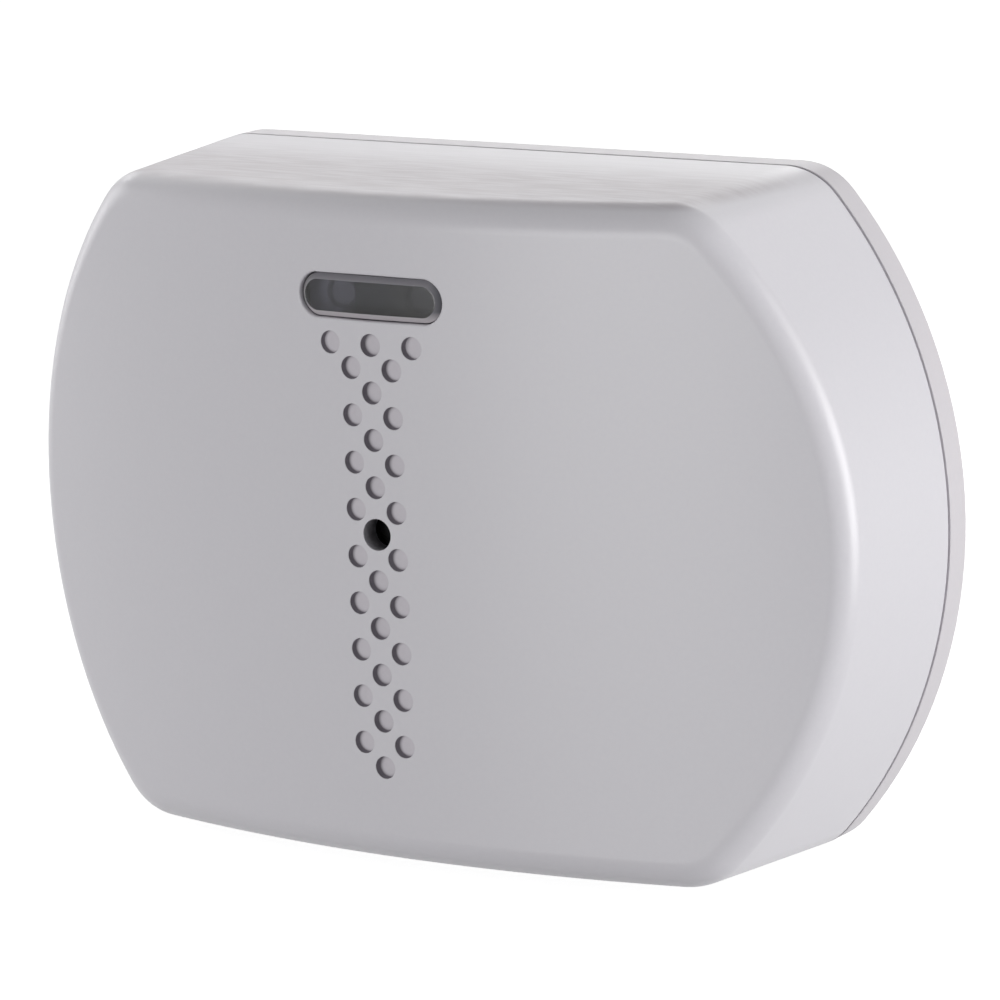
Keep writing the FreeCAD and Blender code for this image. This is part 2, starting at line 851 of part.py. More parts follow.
def base_plate():
    """Moulded rear plate with its rim, locating lip, hooks, screw post, tamper post and screw holes."""
    plate = plate_form(0, 0, base_edge)
    lip = drafted_form(lip_inset, base_floor).common(block(0, 0, width, height, base_floor, lip_end))
    plate = joined(plate, lip).cut(drafted_form(lip_inset + lip_wall, base_floor))

    features = []
    tip = lip_end + hook_length
    foot = flat_inner(base_floor, lip_inset)
    tab = [
        (base_floor, foot - hook_wall),
        (base_floor, foot),
        (tip, flat_inner(tip, lip_inset)),
        (tip, flat_inner(tip, lip_inset) - hook_wall),
    ]
    post_top = cover_screw_place + cover_screw_diameter / 2 + cover_screw_post_wall
    post_outer = flat_inner(post_top, lip_inset)
    screw_tip = flat_inner(cover_screw_place, 0) - cover_screw_sink - cover_screw_length
    post_inner = screw_tip - cover_screw_post_end
    post_width = cover_screw_diameter + 2 * cover_screw_post_wall
    post_middle = -(post_outer + post_inner) / 2
    features.append(block(0, post_middle, post_width, post_outer - post_inner, base_floor, post_top))
    tamper_top = plunger_tip - tamper_post_gap
    features.append(disc(tamper_post_diameter / 2, tamper_x, tamper_z, base_floor, tamper_top))
    for side in (-1, 1):
        features.append(side_slab(tab, hook_width, side * hook_spacing / 2))
        features.append(side_slab(hook_outline(0), hook_width, side * hook_spacing / 2))
        x = side * saddle_spacing / 2
        rib = block(x, cell_z, saddle_thickness, cell_diameter, base_floor, base_floor + saddle_height)
        place = Vector(x - saddle_thickness, -cell_axis, cell_z)
        round_cell = Part.makeCylinder(
            cell_diameter / 2 + saddle_gap, 2 * saddle_thickness, place, Vector(1, 0, 0)
        )
        features.append(rib.cut(round_cell))
    plate = joined(plate, *features)

    cuts = [breakaway_slots(), cover_screw_form(0)]
    holes = [(tamper_x, breakaway_z - tamper_screw_drop)]
    for side in (-1, 1):
        slot_x = side * box_slot_spacing / 2
        cuts.append(stadium(box_slot_length, box_slot_width, slot_x, 0, -overrun, base_edge))
        for level in (-1, 1):
            holes.append((side * wall_hole_spacing_x / 2, level * wall_hole_spacing_z / 2))
    for x, z in holes:
        cuts.append(disc(wall_hole_diameter / 2, x, z, -overrun, base_edge))
    return plate.cut(cuts)


def breakaway_slots():
    """Curved slots round the disc of the base plate that stays on the wall when it is torn off."""
    radius = breakaway_diameter / 2
    ring = disc(radius + breakaway_slot, tamper_x, breakaway_z, -overrun, base_edge)
    reach = radius + breakaway_slot
    upper_z = breakaway_z + reach / 2
    bridges = [
        disc(radius, tamper_x, breakaway_z, -overrun, base_edge),
        block(tamper_x, breakaway_z, 2 * reach, breakaway_bridge, -overrun, base_edge),
        block(tamper_x, upper_z, breakaway_bridge, reach, -overrun, base_edge),
    ]
    return ring.cut(bridges)


pieces = {
    "front_cover": front_cover(),
    "window_lens": window_lens(),
    "led_shroud": led_shroud(),
    "alarm_led": led(-1),
    "status_led": led(1),
    "microphone_capsule": microphone_capsule(),
    "microphone_felt": microphone_felt(),
    "microphone_boot": microphone_boot(),
    "circuit_board": circuit_board(),
    "board_screws": board_screws(),
    "battery_holder": battery_holder(),
    "battery_cell": battery_cell(),
    "positive_contact": contact(1),
    "negative_contact": contact(-1),
    "tamper_switch": tamper_switch(),
    "tamper_plunger": tamper_plunger(),
    "enrol_switch": enrol_switch(),
    "enrol_button": enrol_button(),
    "radio_board": radio_board(),
    "radio_shield": radio_shield(),
    "antenna_wire": antenna_wire(),
    "microcontroller": microcontroller(),
    "signal_amplifier": signal_amplifier(),
    "clock_crystal": clock_crystal(),
    "voltage_regulator": voltage_regulator(),
    "reservoir_capacitor": capacitor(reservoir_x, reservoir_z, reservoir_diameter),
    "filter_capacitor": capacitor(filter_x, filter_z, filter_diameter),
    "jumper_header": jumper_header(),
    "jumper_link": jumper_link(),
    "base_plate": base_plate(),
    "cover_screw": cover_screw_form(0),
}

os.makedirs("parts", exist_ok=True)
for node, shape in pieces.items():
    shape.exportStep(f"parts/{node}.step")
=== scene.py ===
import math

import bmesh
import bpy
from mathutils import Matrix, Vector


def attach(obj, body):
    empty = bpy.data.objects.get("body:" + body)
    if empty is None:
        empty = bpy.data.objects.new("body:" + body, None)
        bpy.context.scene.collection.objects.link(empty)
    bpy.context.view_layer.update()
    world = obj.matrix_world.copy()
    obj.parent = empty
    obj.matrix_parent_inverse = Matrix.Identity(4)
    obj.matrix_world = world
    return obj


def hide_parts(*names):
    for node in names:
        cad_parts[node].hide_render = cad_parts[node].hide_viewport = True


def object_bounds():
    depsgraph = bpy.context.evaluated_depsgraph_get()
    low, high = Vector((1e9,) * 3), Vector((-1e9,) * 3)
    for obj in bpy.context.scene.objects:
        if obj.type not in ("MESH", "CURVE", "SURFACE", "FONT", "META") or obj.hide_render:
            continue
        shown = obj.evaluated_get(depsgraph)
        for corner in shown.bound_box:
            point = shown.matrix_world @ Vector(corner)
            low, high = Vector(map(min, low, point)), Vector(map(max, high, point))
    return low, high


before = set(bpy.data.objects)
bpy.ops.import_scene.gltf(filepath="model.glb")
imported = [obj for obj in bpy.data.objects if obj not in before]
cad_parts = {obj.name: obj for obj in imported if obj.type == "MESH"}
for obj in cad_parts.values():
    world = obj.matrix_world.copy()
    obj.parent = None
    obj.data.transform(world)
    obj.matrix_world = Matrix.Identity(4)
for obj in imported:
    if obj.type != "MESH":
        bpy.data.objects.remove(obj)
cad_low, cad_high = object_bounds()

# Camera. A long lens stands well back, to the right of the front and a little above it, so that
# the object keeps the nearly parallel edges of a catalogue picture.
mm = 0.001
camera_azimuth = math.radians(32.446)
camera_elevation = math.radians(11.984)
camera_roll = math.radians(-1.823)
camera_distance = 589.57 * mm
camera_shift_right = 6.25 * mm
camera_shift_up = 1.22 * mm
camera_target = Vector((0, -20 * mm, 0))
focal_pixels = 5355.5
frame_pixels = 1000
camera_data = bpy.data.cameras.new("camera")
camera_data.sensor_width = 36
camera_data.lens = focal_pixels / frame_pixels * camera_data.sensor_width
camera_data.clip_start = 0.05
camera_data.clip_end = 20
camera = bpy.data.objects.new("camera", camera_data)
bpy.context.scene.collection.objects.link(camera)
bpy.context.scene.camera = camera
back = Vector((
    math.sin(camera_azimuth) * math.cos(camera_elevation),
    -math.cos(camera_azimuth) * math.cos(camera_elevation),
    math.sin(camera_elevation),
))
level_right = Vector((math.cos(camera_azimuth), math.sin(camera_azimuth), 0))
level_up = back.cross(level_right)
right = math.cos(camera_roll) * level_right + math.sin(camera_roll) * level_up
up = math.cos(camera_roll) * level_up - math.sin(camera_roll) * level_right
turn = Matrix((right, up, back)).transposed().to_4x4()
place = camera_target + camera_distance * back + camera_shift_right * right + camera_shift_up * up
camera.matrix_world = Matrix.Translation(place) @ turn


def colour(hex_value):
    """Linear red, green, blue and alpha of an sRGB hex value."""
    parts = [int(hex_value[index : index + 2], 16) / 255 for index in (1, 3, 5)]
    linear = [part / 12.92 if part <= 0.04045 else ((part + 0.055) / 1.055) ** 2.4 for part in parts]
    return (*linear, 1.0)


def new_material(name):
    """Empty node material with its output and one Principled shader."""
    material = bpy.data.materials.new(name)
    material.use_nodes = True
    material.node_tree.nodes.clear()
    output = material.node_tree.nodes.new("ShaderNodeOutputMaterial")
    shader = material.node_tree.nodes.new("ShaderNodeBsdfPrincipled")
    material.node_tree.links.new(shader.outputs["BSDF"], output.inputs["Surface"])
    return material, shader


def add_node(material, kind, inputs=None, links=None, **settings):
    """Adds a node: settings are its properties, inputs its socket values, links its sources."""
    node = material.node_tree.nodes.new(kind)
    for key, value in settings.items():
        setattr(node, key, value)
    for key, value in (inputs or {}).items():
        node.inputs[key].default_value = value
    for key, source in (links or {}).items():
        material.node_tree.links.new(source, node.inputs[key])
    return node


# Floor and light. A pale matt floor runs far past the picture. Large soft lamps stand in front, at both
# sides and above, and the right ones are the brightest, so that the right wall is lighter than the front.
# They shine through the floor, because some reach below its level.
floor_z = cad_low.z
floor_mesh = bpy.data.meshes.new("floor")
floor_bm = bmesh.new()
bmesh.ops.create_grid(floor_bm, x_segments=1, y_segments=1, size=6.0)
bmesh.ops.translate(floor_bm, verts=floor_bm.verts, vec=(0, 0, floor_z))
floor_bm.to_mesh(floor_mesh)
floor_bm.free()
floor = bpy.data.objects.new("floor", floor_mesh)
bpy.context.scene.collection.objects.link(floor)

floor_paper, floor_shader = new_material("white_floor_paper")
floor_shader.inputs["Base Color"].default_value = colour("#9A9A9A")
floor_shader.inputs["Roughness"].default_value = 0.9
floor_mesh.materials.append(floor_paper)


def background_share(material):
    """1 for what is seen directly, through glass or in a reflection, and 0 for light that falls on things."""
    rays = add_node(material, "ShaderNodeLightPath")
    share = rays.outputs["Is Camera Ray"]
    for kind in ("Is Glossy Ray", "Is Transmission Ray"):
        most = add_node(
            material, "ShaderNodeMath", operation="MAXIMUM", links={0: share, 1: rays.outputs[kind]}
        )
        share = most.outputs["Value"]
    return share


white_lift = 0.92
lift = add_node(
    floor_paper, "ShaderNodeMath", operation="MULTIPLY",
    inputs={1: white_lift}, links={0: background_share(floor_paper)},
)
floor_shader.inputs["Emission Color"].default_value = (1, 1, 1, 1)
floor_paper.node_tree.links.new(lift.outputs["Value"], floor_shader.inputs["Emission Strength"])

through_floor = bpy.data.collections.new("lamps_shine_through")
through_floor.objects.link(floor)
lamps = [
    ("front_lamp", 10.6, (0.9, 0.9), (-0.12, -1.6, 0.05)),
    ("right_lamp", 9.2, (0.6, 0.6), (1.16, 0.31, 0.0)),
    ("upper_right_lamp", 2.6, (0.6, 0.6), (1.16, 0.31, 0.5)),
    ("left_lamp", 2.7, (0.6, 0.6), (-1.2, 0.0, 0.2)),
    ("near_top_lamp", 0.14, (0.24, 0.04), (-0.11, 0.1, 0.12)),
    ("far_top_lamp", 1.6, (1.2, 0.4), (0.1, 0.95, 0.75)),
    ("overhead_lamp", 0.6, (1.0, 1.0), (0.0, 0.0, 1.4)),
]
for name, power, size, position in lamps:
    data = bpy.data.lights.new(name, "AREA")
    data.shape = "RECTANGLE"
    data.size, data.size_y = size
    data.energy = power
    lamp = bpy.data.objects.new(name, data)
    lamp.location = position
    lamp.visible_camera = False
    lamp.light_linking.blocker_collection = through_floor
    lamp.rotation_euler = Vector(position).to_track_quat("Z", "Y").to_euler()
    bpy.context.scene.collection.objects.link(lamp)

through_floor.collection_objects[0].light_linking.link_state = "EXCLUDE"

world = bpy.data.worlds.new("studio")
bpy.context.scene.world = world
world.use_nodes = True
backdrop = world.node_tree.nodes["Background"]
backdrop.inputs["Color"].default_value = (1, 1, 1, 1)
room_strength = 0.13
level = add_node(
    world, "ShaderNodeMapRange",
    inputs={"To Min": room_strength, "To Max": 1.0}, links={"Value": background_share(world)},
)
world.node_tree.links.new(level.outputs["Result"], backdrop.inputs["Strength"])
bpy.context.scene.view_settings.view_transform = "Standard"


# Front cover. A deep white ABS shell, injection moulded in one piece. Its outline is a circle cut
# flat at top and bottom, the front is crowned about an upright axis, and the walls are drafted so
# that it leaves the mould. Blind dimples lead down to the sound port.
outline_radius = cad_high.x / mm
half_height = cad_high.z / mm
depth = -cad_low.y / mm
crown_radius = 140.0
round_draft = math.radians(5.0)
flat_draft = math.radians(2.2)
outline_corner = 8.0
front_edge_radius = 3.6
cover_wall = 2.2
rim_depth = 3.6
seam_gap = 0.3
seam_depth = 0.8
seam_edge = 0.25
seam_edge_middle = 0.3 * seam_edge
arc_steps = 24
corner_steps = 12
flat_steps = 16
edge_steps = 10
smallest_corner = 1.0
smallest_gap = 0.001 * mm
straight_cuts = 9
settle_rounds = 6


def quarter_place(step, inset, away):
    """A point of the outline's first quarter: x, z, the angle that it faces and its share of flat draft."""
    radius = outline_radius - inset - (away - rim_depth) * math.tan(round_draft)
    top = half_height - inset - (away - rim_depth) * math.tan(flat_draft)
    corner = max(outline_corner - inset, smallest_corner)
    corner_z = top - corner
    corner_x = math.sqrt((radius - corner) ** 2 - corner_z ** 2)
    turn_over = math.atan2(corner_z, corner_x)
    if step <= arc_steps:
        angle = turn_over * step / arc_steps
        return radius * math.cos(angle), radius * math.sin(angle), angle, 0.0
    if step <= arc_steps + corner_steps:
        share = (step - arc_steps) / corner_steps
        angle = turn_over + (math.pi / 2 - turn_over) * share
        return corner_x + corner * math.cos(angle), corner_z + corner * math.sin(angle), angle, share
    left = (quarter_steps - step) / flat_steps
    return corner_x * left, top, math.pi / 2, 1.0


quarter_steps = arc_steps + corner_steps + flat_steps
rising = list(range(quarter_steps))
falling = list(range(quarter_steps, 0, -1))
stations = [(step, 1, 1) for step in rising] + [(step, -1, 1) for step in falling]
stations += [(step, -1, -1) for step in rising] + [(step, 1, -1) for step in falling]


def crown_away(x, inset=0.0):
    """Distance from the wall to the crowned front at x, moved in by inset."""
    return depth - crown_radius + math.sqrt((crown_radius - inset) ** 2 - x ** 2)


def crown_facing(x, away):
    """Outward direction of the crowned front."""
    return Vector((x, -(away + crown_radius - depth), 0)).normalized()


def wall_place(station, inset, away):
    """Place and outward direction of the drafted wall at a station of the outline."""
    step, side, level = station
    x, z, angle, share = quarter_place(step, inset, away)
    draft = round_draft + (flat_draft - round_draft) * share
    facing = Vector((
        side * math.cos(angle) * math.cos(draft), -math.sin(draft), level * math.sin(angle) * math.cos(draft)
    ))
    return Vector((side * x, -away, level * z)), facing


def edge_centre(station):
    """Centre of the ball that rolls along the front edge, and the directions to its two touching points."""
    away = depth - front_edge_radius
    for _ in range(settle_rounds):
        place, facing = wall_place(station, front_edge_radius, away)
        away = crown_away(place.x, front_edge_radius)
    place, facing = wall_place(station, front_edge_radius, away)
    return place, facing, crown_facing(place.x, away)


def next_ring(bm, edges):
    """Extrudes a ring of edges and gives the new ring's vertices and edges."""
    made = bmesh.ops.extrude_edge_only(bm, edges=edges)["geom"]
    verts = [item for item in made if isinstance(item, bmesh.types.BMVert)]
    fresh = set(verts)
    return verts, [e for e in made if isinstance(e, bmesh.types.BMEdge) and fresh.issuperset(e.verts)]


def place_ring(verts, where):
    """Moves a ring's vertices to the place, in mm, and the outward direction that their stations have."""
    for vert in verts:
        place, facing = where(stations[vert[station_layer]])
        vert.co = place * mm
        vert[facing_layer] = facing or Vector((0, 0, 0))


cover_bm = bmesh.new()
station_layer = cover_bm.verts.layers.int.new("station")
facing_layer = cover_bm.verts.layers.float_vector.new("facing")
circle = bmesh.ops.create_circle(cover_bm, cap_ends=False, radius=mm, segments=len(stations))
for number, vert in enumerate(circle["verts"]):
    vert[station_layer] = number
edge_balls = {station: edge_centre(station) for station in stations}


def inner_wall(station):
    place, facing = wall_place(station, cover_wall, rim_depth)
    return place, None


seam_away = rim_depth + seam_gap
rear_rings = [
    lambda station: (wall_place(station, seam_depth, rim_depth)[0], None),
    lambda station: (wall_place(station, seam_depth, seam_away)[0], None),
    lambda station: (wall_place(station, seam_edge, seam_away)[0], None),
    lambda station: (wall_place(station, seam_edge_middle, seam_away + seam_edge_middle)[0], None),
    lambda station: wall_place(station, 0, seam_away + seam_edge),
    lambda station: (
        edge_balls[station][0] + front_edge_radius * edge_balls[station][1], edge_balls[station][1]
    ),
]
ring_verts = circle["verts"]
ring_edges = list({edge for vert in ring_verts for edge in vert.link_edges})
place_ring(ring_verts, inner_wall)
inner_start = ring_edges
for where in rear_rings:
    ring_verts, ring_edges = next_ring(cover_bm, ring_edges)
    place_ring(ring_verts, where)
for step in range(1, edge_steps + 1):
    share = step / edge_steps

    def rounded(station):
        centre, from_wall, from_crown = edge_balls[station]
        facing = from_wall.slerp(from_crown, share)
        return centre + front_edge_radius * facing, facing

    ring_verts, ring_edges = next_ring(cover_bm, ring_edges)
    place_ring(ring_verts, rounded)
front_outline = ring_edges


def oval_ring(bm, x, z, radius, stretch, segments):
    """Ring of edges that faces the front, round or drawn out sideways into an oval with full round ends."""
    across = Matrix.Rotation(math.pi / 2, 4, "X")
    made = bmesh.ops.create_circle(
        bm, cap_ends=False, radius=radius * mm, segments=segments, matrix=across
    )
    verts = made["verts"]
    edges = list({edge for vert in verts for edge in vert.link_edges})
    if stretch:
        for vert in verts:
            if abs(vert.co.x) > smallest_gap:
                vert.co.x += math.copysign(stretch * mm, vert.co.x)
        longest = [edge for edge in edges if edge.calc_length() > stretch * mm / 2]
        cut = bmesh.ops.subdivide_edges(bm, edges=longest, cuts=straight_cuts)
        edges = [edge for edge in edges if edge.is_valid]
        edges += [item for item in cut["geom_split"] if isinstance(item, bmesh.types.BMEdge)]
        edges = list(set(edges))
        verts = list({vert for edge in edges for vert in edge.verts})
    bmesh.ops.translate(bm, verts=verts, vec=(x * mm, 0, z * mm))
    return verts, edges


def hole_ring(x, z, radius, stretch=0.0):
    """Ring of edges that lies on the crowned front."""
    verts, edges = oval_ring(cover_bm, x, z, radius, stretch, hole_segments)
    for vert in verts:
        away = crown_away(vert.co.x / mm)
        vert.co.y = -away * mm
        vert[facing_layer] = crown_facing(vert.co.x / mm, away)
    return verts, edges


def pull_in(verts, x, z, distance, stretch=0.0):
    """Moves a ring's vertices towards the middle of their hole."""
    for vert in verts:
        from_middle = Vector((vert.co.x / mm - x, 0, vert.co.z / mm - z))
        straight = max(-stretch, min(stretch, from_middle.x))
        outward = from_middle - Vector((straight, 0, 0))
        vert.co -= outward.normalized() * distance * mm


def rim(edges, x, z, edge, stretch=0.0):
    """Rounds the rim of a hole inwards in a few rings and gives the ring at the foot of the rounding."""
    for step in range(1, rim_steps + 1):
        before = math.pi / 2 * (step - 1) / rim_steps
        angle = math.pi / 2 * step / rim_steps
        verts, edges = next_ring(cover_bm, edges)
        pull_in(verts, x, z, edge * (math.sin(angle) - math.sin(before)), stretch)
        drop = edge * (math.cos(before) - math.cos(angle))
        bmesh.ops.translate(cover_bm, verts=verts, vec=(0, drop * mm, 0))
        for vert in verts:
            vert[facing_layer] = Vector((0, 0, 0))
    return verts, edges


dimple_radius = 1.25
dimple_pitch = 2.6
dimple_depth = 1.0
dimple_edge = 0.07
dimple_wall = 0.85
dimple_floor_radius = 0.55
dimple_floor_steps = 4
port_radius = 1.75
port_edge = 0.07
window_radius = 2.5
window_stretch = 6.6
window_z = 25.9
window_edge = 0.25
rows_above = 8
rows_below = 10
hole_segments = 32
rim_steps = 4

dimples = []
for row in range(-rows_below, rows_above + 1):
    columns = [-1, 1] if row % 2 else [0]
    if row == rows_above:
        columns = [-2, 0, 2]
    if row:
        dimples.extend((column * dimple_pitch, row * dimple_pitch) for column in columns)

holes = []
for x, z in dimples:
    verts, edges = hole_ring(x, z, dimple_radius + dimple_edge)
    holes.extend(edges)
    verts, edges = rim(edges, x, z, dimple_edge)

    # The wall goes straight down and the floor is a little dished
    for step in range(dimple_floor_steps + 1):
        angle = math.pi / 2 * step / dimple_floor_steps
        radius = dimple_floor_radius + (dimple_radius - dimple_floor_radius) * math.cos(angle)
        sink = dimple_wall + (dimple_depth - dimple_wall) * math.sin(angle)
        verts, edges = next_ring(cover_bm, edges)
        for vert in verts:
            across = Vector((vert.co.x - x * mm, 0, vert.co.z - z * mm)).normalized() * radius * mm
            vert.co = across + Vector((x * mm, (sink - crown_away(x)) * mm, z * mm))
        for face in {face for edge in edges for face in edge.link_faces}:
            face.material_index = 1
    bmesh.ops.edgeloop_fill(cover_bm, edges=edges, mat_nr=1)

inner_holes = []
for x, z, radius, edge, stretch in (
    (0, 0, port_radius, port_edge, 0.0),
    (0, window_z, window_radius, window_edge, window_stretch),
):
    verts, edges = hole_ring(x, z, radius + edge, stretch)
    holes.extend(edges)
    verts, edges = rim(edges, x, z, edge, stretch)
    verts, edges = next_ring(cover_bm, edges)
    for vert in verts:
        vert.co.y = -crown_away(vert.co.x / mm, cover_wall) * mm
    inner_holes.extend(edges)


def fill_between(bm, edges, facing):
    """Fills the flat area between rings. It is filled at 1000 times its size, because the fill merges
    points that lie close together in metres."""
    bmesh.ops.scale(bm, verts=bm.verts, vec=(1 / mm, 1 / mm, 1 / mm))
    made = bmesh.ops.triangle_fill(bm, use_beauty=True, edges=edges, normal=facing)["geom"]
    bmesh.ops.scale(bm, verts=bm.verts, vec=(mm, mm, mm))
    return [item for item in made if isinstance(item, bmesh.types.BMFace)]


def crowned_sheet(edges, inset, facing_sign):
    """Fills the outline round its holes and bends the sheet onto the crown in narrow upright strips."""
    sheet = set(fill_between(cover_bm, edges, (0, -1, 0)))
    x = -strip_reach
    while x <= strip_reach:
        geom = list(sheet)
        geom += list({e for f in sheet for e in f.edges}) + list({v for f in sheet for v in f.verts})
        cut = bmesh.ops.bisect_plane(
            cover_bm, geom=geom, dist=1e-7, plane_co=(x * mm, 0, 0), plane_no=(1, 0, 0)
        )
        sheet = {item for item in cut["geom"] if isinstance(item, bmesh.types.BMFace)}
        x += strip_width
    for vert in {v for f in sheet for v in f.verts}:
        away = crown_away(vert.co.x / mm, inset)
        vert.co.y = -away * mm
        if facing_sign:
            vert[facing_layer] = crown_facing(vert.co.x / mm, away) * facing_sign
    return sheet


strip_reach = 52.0
strip_width = 2.0
crowned_sheet(front_outline + holes, 0.0, 1)

# The inside of the front follows the outside, one wall thickness behind it
verts, edges = next_ring(cover_bm, inner_start)
for vert in verts:
    station = stations[vert[station_layer]]
    away = depth - cover_wall
    for _ in range(settle_rounds):
        place, facing = wall_place(station, cover_wall, away)
        away = crown_away(place.x, cover_wall)
    vert.co = place * mm
    vert.co.y = -away * mm
crowned_sheet(edges + inner_holes, cover_wall, 0)


def flat_wall_z(inset, away):
    """Height of the flat drafted wall, moved in by inset, at a distance from the wall."""
    return half_height - inset - (away - rim_depth) * math.tan(flat_draft)


def refill_wall(level, inset, reach, rings):
    """Opens the flat wall at the top (level 1) or bottom (level -1) and fills it again round the rings."""
    strip = []
    for face in cover_bm.faces:
        middle = face.calc_center_median() / mm
        on_wall = abs(middle.z * level - flat_wall_z(inset, -middle.y)) < wall_reach
        is_strip = abs(face.normal.z) > flat_share and face.calc_area() > strip_area
        if on_wall and is_strip and abs(middle.x) < reach:
            strip.append(face)
    touched = [edge for face in strip for edge in face.edges]
    border = [edge for edge in set(touched) if touched.count(edge) == 1]
    bmesh.ops.delete(cover_bm, geom=strip, context="FACES")
    fill_between(cover_bm, border + rings, (0, 0, level))


def level_ring(radius, away, inset, facing):
    """Round ring that lies in the flat bottom wall, moved in by inset."""
    made = bmesh.ops.create_circle(cover_bm, cap_ends=False, radius=radius * mm, segments=hole_segments)
    bmesh.ops.translate(cover_bm, verts=made["verts"], vec=(0, -away * mm, 0))
    for vert in made["verts"]:
        vert.co.z = -flat_wall_z(inset, -vert.co.y / mm) * mm
        vert[facing_layer] = facing
    return made["verts"], list({edge for vert in made["verts"] for edge in vert.link_edges})


wall_reach = 0.2
flat_share = 0.9
strip_area = 20 * mm * mm
screw_away = 9.5
screw_radius = 1.45
screw_head_radius = 2.8
screw_play = 0.15
screw_sink = 0.3
screw_hole_edge = 0.1
hook_pocket_x = 22.0
hook_pocket_half = 4.2
hook_pocket_ends = (9.4, 12.34)
hook_pocket_top_end = 10.8
hook_pocket_rise = 1.0
pocket_reach = 34.0
screw_reach = 7.0

# Countersunk hole for the cover screw, from the outside to the inside of the bottom wall
bottom_facing = Vector((0, -math.sin(flat_draft), -math.cos(flat_draft)))
mouth = screw_head_radius + screw_play
hole = screw_radius + screw_play
verts, edges = level_ring(mouth + screw_hole_edge, screw_away, 0, bottom_facing)
cover_bm.normal_update()
refill_wall(-1, 0, screw_reach, edges)
for radius, sink in (
    (mouth, screw_hole_edge),
    (mouth, screw_sink),
    (hole, screw_sink + mouth - hole),
    (hole, cover_wall),
):
    verts, edges = next_ring(cover_bm, edges)
    for vert in verts:
        across = Vector((vert.co.x, vert.co.y + screw_away * mm, 0)).normalized() * radius * mm
        vert.co = across + Vector((0, -screw_away * mm, 0))
        vert.co.z = -flat_wall_z(sink, -vert.co.y / mm) * mm
        vert[facing_layer] = Vector((0, 0, 0))
refill_wall(-1, cover_wall, pocket_reach, edges)

# Two pockets in the top wall, for the hooks of the base plate
pocket_rings = []
for side in (-1, 1):
    corners = []
    for step_x, end in ((-1, 0), (1, 0), (1, 1), (-1, 1)):
        away = hook_pocket_ends[end]
        x = side * hook_pocket_x + step_x * hook_pocket_half
        corners.append(cover_bm.verts.new((x * mm, -away * mm, flat_wall_z(cover_wall, away) * mm)))
    ring = [cover_bm.edges.new((corners[index - 1], corners[index])) for index in range(4)]
    pocket_rings.append(ring)
cover_bm.normal_update()
refill_wall(1, cover_wall, pocket_reach, [edge for ring in pocket_rings for edge in ring])
for ring in pocket_rings:
    verts, edges = next_ring(cover_bm, ring)
    bmesh.ops.translate(cover_bm, verts=verts, vec=(0, 0, hook_pocket_rise * mm))
    for vert in verts:
        if vert.co.y < -hook_pocket_top_end * mm:
            vert.co.y = -hook_pocket_top_end * mm
    bmesh.ops.edgeloop_fill(cover_bm, edges=edges)


def raised(bm, edges, start, end):
    """Solid on a flat outline, with any holes in it, between two distances from the wall."""
    for vert in {vert for edge in edges for vert in edge.verts}:
        vert.co.y = -start * mm
    faces = fill_between(bm, edges, (0, -1, 0))
    grown = bmesh.ops.extrude_face_region(bm, geom=faces, use_keep_orig=True)["geom"]
    verts = [item for item in grown if isinstance(item, bmesh.types.BMVert)]
    for vert in verts:
        vert.co.y = -end * mm
    return verts


def frame_ring(bm, x, z, size_x, size_z):
    """Ring of edges round a rectangle that faces the front."""
    corners = []
    for step_x, step_z in ((-1, -1), (1, -1), (1, 1), (-1, 1)):
        corners.append(bm.verts.new(((x + step_x * size_x / 2) * mm, 0, (z + step_z * size_z / 2) * mm)))
    return [bm.edges.new((corners[index - 1], corners[index])) for index in range(4)]


def ring_of(bm, x, z, radius):
    """Ring of edges of a plain round hole or bar."""
    return oval_ring(bm, x, z, radius, 0, hole_segments)[1]


root_depth = 0.6
board_front = 23.6
boss_x = 32.05
boss_z = -24.03
boss_size = 6.0
boss_pilot = 1.45
seat_away = 30.8
seat_radius = 7.6
seat_hole_radius = 1.7675
boot_rib_inner = 6.5
boot_rib_thickness = 1.1
boot_rib_width = 3.0
boot_rib_start = 26.8
window_frame_outer = (22.9, 9.7)
window_frame_inner = (21.3, 8.1)
window_frame_start = 30.1
clip_x = 24.05
clip_width = 5.0
clip_outline = (
    (32.1, 33.6), (32.1, 30.8), (23.6, 30.8), (23.6, 32.2),
    (21.85, 32.2), (21.85, 31.4), (20.25, 32.2), (20.25, 33.6),
)

# Bosses and clips for the board, the seat and the ribs of the microphone's boot, and the window's frame
boss_end = crown_away(boss_x, cover_wall) + root_depth
clip_end = crown_away(clip_x, cover_wall) + root_depth
for side in (-1, 1):
    ring = frame_ring(cover_bm, side * boss_x, boss_z, boss_size, boss_size)
    raised(cover_bm, ring + ring_of(cover_bm, side * boss_x, boss_z, boss_pilot), board_front, boss_end)
    corners = [cover_bm.verts.new((0, -away * mm, up * mm)) for away, up in clip_outline]
    for vert in corners:
        vert.co.x = (side * clip_x - clip_width / 2) * mm
        vert.co.y = max(vert.co.y, -clip_end * mm)
    flat = bmesh.ops.contextual_create(cover_bm, geom=corners)["faces"]
    grown = bmesh.ops.extrude_face_region(cover_bm, geom=flat, use_keep_orig=True)["geom"]
    grown_verts = [item for item in grown if isinstance(item, bmesh.types.BMVert)]
    bmesh.ops.translate(cover_bm, verts=grown_verts, vec=(clip_width * mm, 0, 0))
    middle = boot_rib_inner + boot_rib_thickness / 2
    seat_end = depth - cover_wall + root_depth
    ring = frame_ring(cover_bm, side * middle, 0, boot_rib_thickness, boot_rib_width)
    raised(cover_bm, ring, boot_rib_start, seat_end)
    ring = frame_ring(cover_bm, 0, side * middle, boot_rib_width, boot_rib_thickness)
    raised(cover_bm, ring, boot_rib_start, seat_end)
ring = ring_of(cover_bm, 0, 0, seat_radius) + ring_of(cover_bm, 0, 0, seat_hole_radius)
raised(cover_bm, ring, seat_away, seat_end)
